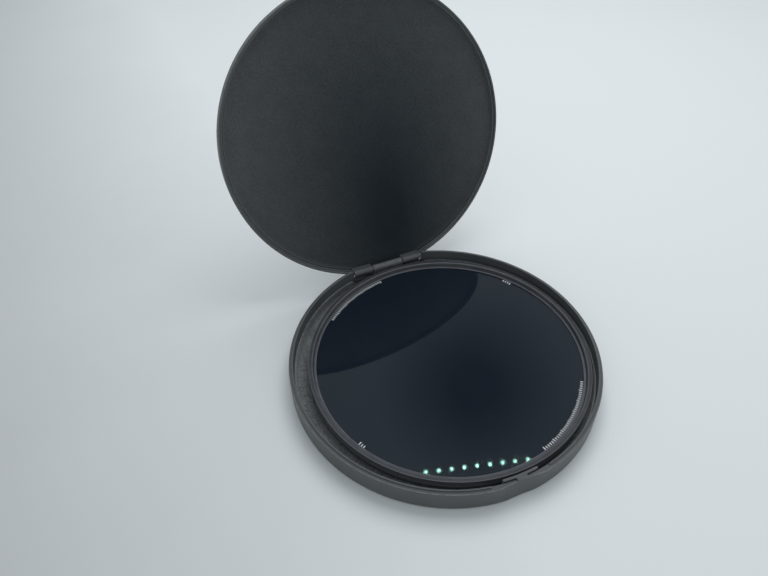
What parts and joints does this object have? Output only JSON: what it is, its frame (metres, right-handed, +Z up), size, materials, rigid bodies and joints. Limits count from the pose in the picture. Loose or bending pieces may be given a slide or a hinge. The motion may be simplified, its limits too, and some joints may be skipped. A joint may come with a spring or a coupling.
{
  "type": "screw-in camera filter in a round case",
  "caption": "Round hinged plastic case standing open, foam lined, holding a large screw-in circular polarising filter with a turning front ring.",
  "frame": {"origin": "centre of the case base's flat underside, on the table", "axes": "+Z up out of the tray, +Y towards the hinge, -Y towards the latch and thumb recess, +X to the right seen from the latch"},
  "size_m": [0.126, 0.1677, 0.1243],
  "materials": {
    "case_plastic": "charcoal moulded polypropylene with a fine spark-eroded grain and a soft sheen",
    "case_foam": "dark grey fine-celled foam with a felt-like face",
    "adhesive": "thin double-sided adhesive sheet",
    "pin_steel": "plain drawn wire",
    "spring_steel": "square spring wire",
    "ring_aluminium": "black anodised, satin, turned",
    "filter_glass": "polished and coated optical glass, very dark blue with a green reflection",
    "filter_film": "smoky stretched polymer film"
  },
  "bodies": {
    "base": {"base_shell": "case_plastic", "base_pad_adhesive": "adhesive", "base_foam_pad": "case_foam", "hinge_pin": "pin_steel"},
    "latch": {"latch_tongue": "case_plastic"},
    "lid": {"lid_shell": "case_plastic", "lid_pad_adhesive": "adhesive", "lid_foam_pad": "case_foam"},
    "filter_mount": {"rear_ring": "ring_aluminium"},
    "filter_spring": {"snap_ring": "spring_steel"},
    "filter_front": {"front_ring": "ring_aluminium", "retaining_ring": "ring_aluminium", "rear_glass": "filter_glass", "quarter_wave_film": "filter_film", "polarising_film": "filter_film", "front_glass": "filter_glass"}
  },
  "joints": [
    {"name": "lid_hinge", "type": "hinge", "parent": "base", "child": "lid", "pos_m": [0, 0.0598, 0.0086], "axis": [-1, 0, 0], "range_deg": [-108.6, 0]},
    {"name": "latch_flex", "type": "hinge", "parent": "base", "child": "latch", "pos_m": [0, -0.06025, 0.0043], "axis": [-1, 0, 0], "range_deg": [0, 4], "stiffness_Nm_per_rad": 0.3},
    {"name": "filter_lift", "type": "slide", "parent": "base", "child": "filter_mount", "axis": [0, 0, 1], "range_m": [0, 0.03]},
    {"name": "front_ring_turn", "type": "hinge", "parent": "filter_mount", "child": "filter_front", "pos_m": [0.00225, -0.00015, 0.0057], "axis": [0, 0, 1], "continuous": true},
    {"name": "snap_ring_turn", "type": "hinge", "parent": "filter_mount", "child": "filter_spring", "pos_m": [0.00225, -0.00015, 0.0047], "axis": [0, 0, 1], "continuous": true}
  ]
}
